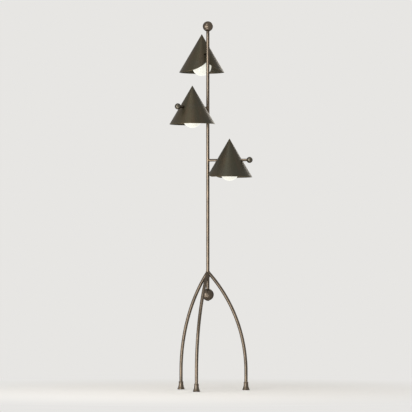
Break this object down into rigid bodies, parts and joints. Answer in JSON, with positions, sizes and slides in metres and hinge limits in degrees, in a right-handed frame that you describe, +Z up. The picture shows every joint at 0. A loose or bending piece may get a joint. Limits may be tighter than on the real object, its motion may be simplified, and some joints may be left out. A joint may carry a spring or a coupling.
{
  "type": "floor lamp",
  "caption": "Free-standing floor lamp on a tripod of bowed tube legs: a thin pole with cone shades on side arms, each turning about its arm over an opal globe.",
  "frame": {"origin": "on the floor, under the pole's axis, at the centre of the circle through the feet", "axes": "+Z up along the pole; +X to the right seen from the front; +Y to the back, away from the viewer"},
  "size_m": [0.4042, 0.4174, 1.8],
  "materials": {
    "bronze_tube": "satin antique bronze plating on steel",
    "bronze_turned": "polished antique bronze plating on steel",
    "shade_bronze": "satin dark bronze",
    "cup_bronze": "satin",
    "zinc_steel": "satin",
    "brass_fitting": "satin",
    "cap_metal": "satin",
    "opal_glass": "satin",
    "socket_ceramic": "matte",
    "splice_ceramic": "matte",
    "pad_rubber": "matte",
    "bush_plastic": "satin",
    "wire_sleeve": "matte",
    "washer_fibre": "matte"
  },
  "bodies": {
    "stand": {"pole": "bronze_tube", "leg_hub": "bronze_tube", "leg_right": "bronze_tube", "leg_left": "bronze_tube", "leg_front": "bronze_tube", "foot_right": "bronze_turned", "foot_left": "bronze_turned", "foot_front": "bronze_turned", "pad_right": "pad_rubber", "pad_left": "pad_rubber", "pad_front": "pad_rubber", "leg_plugs": "zinc_steel", "foot_screws": "zinc_steel", "hub_screws": "zinc_steel", "lower_ball": "bronze_turned", "lower_nipple": "brass_fitting", "pole_bush": "brass_fitting", "cord_bush": "bush_plastic", "top_ball": "bronze_turned", "top_plug": "zinc_steel", "arm_low": "bronze_tube", "arm_middle": "bronze_tube", "arm_high": "bronze_tube", "feed_cable": "wire_sleeve", "arm_leads": "wire_sleeve", "splice_sleeves": "splice_ceramic", "swivel_washers": "washer_fibre"},
    "head_low": {"shade_low": "shade_bronze", "shade_plug_low": "zinc_steel", "holder_cup_low": "cup_bronze", "socket_low": "socket_ceramic", "socket_contacts_low": "brass_fitting", "bulb_glass_low": "opal_glass", "bulb_cap_low": "cap_metal", "outer_arm_low": "bronze_tube", "arm_ball_low": "bronze_turned", "head_fixings_low": "zinc_steel", "head_lead_low": "wire_sleeve"},
    "head_middle": {"shade_middle": "shade_bronze", "shade_plug_middle": "zinc_steel", "holder_cup_middle": "cup_bronze", "socket_middle": "socket_ceramic", "socket_contacts_middle": "brass_fitting", "bulb_glass_middle": "opal_glass", "bulb_cap_middle": "cap_metal", "outer_arm_middle": "bronze_tube", "arm_ball_middle": "bronze_turned", "head_fixings_middle": "zinc_steel", "head_lead_middle": "wire_sleeve"},
    "head_high": {"shade_high": "shade_bronze", "shade_plug_high": "zinc_steel", "holder_cup_high": "cup_bronze", "socket_high": "socket_ceramic", "socket_contacts_high": "brass_fitting", "bulb_glass_high": "opal_glass", "bulb_cap_high": "cap_metal", "outer_arm_high": "bronze_tube", "arm_ball_high": "bronze_turned", "head_fixings_high": "zinc_steel", "head_lead_high": "wire_sleeve"}
  },
  "joints": [
    {"name": "swivel_low", "type": "hinge", "parent": "stand", "child": "head_low", "pos_m": [0.10528, -0.02625, 1.121], "axis": [0.9703, -0.2419, 0], "range_deg": [-90, 90]},
    {"name": "swivel_middle", "type": "hinge", "parent": "stand", "child": "head_middle", "pos_m": [-0.07537, -0.07805, 1.376], "axis": [-0.6947, -0.7193, 0], "range_deg": [-90, 90]},
    {"name": "swivel_high", "type": "hinge", "parent": "stand", "child": "head_high", "pos_m": [-0.02991, 0.1043, 1.64], "axis": [-0.2756, 0.9613, 0], "range_deg": [-90, 90]}
  ]
}
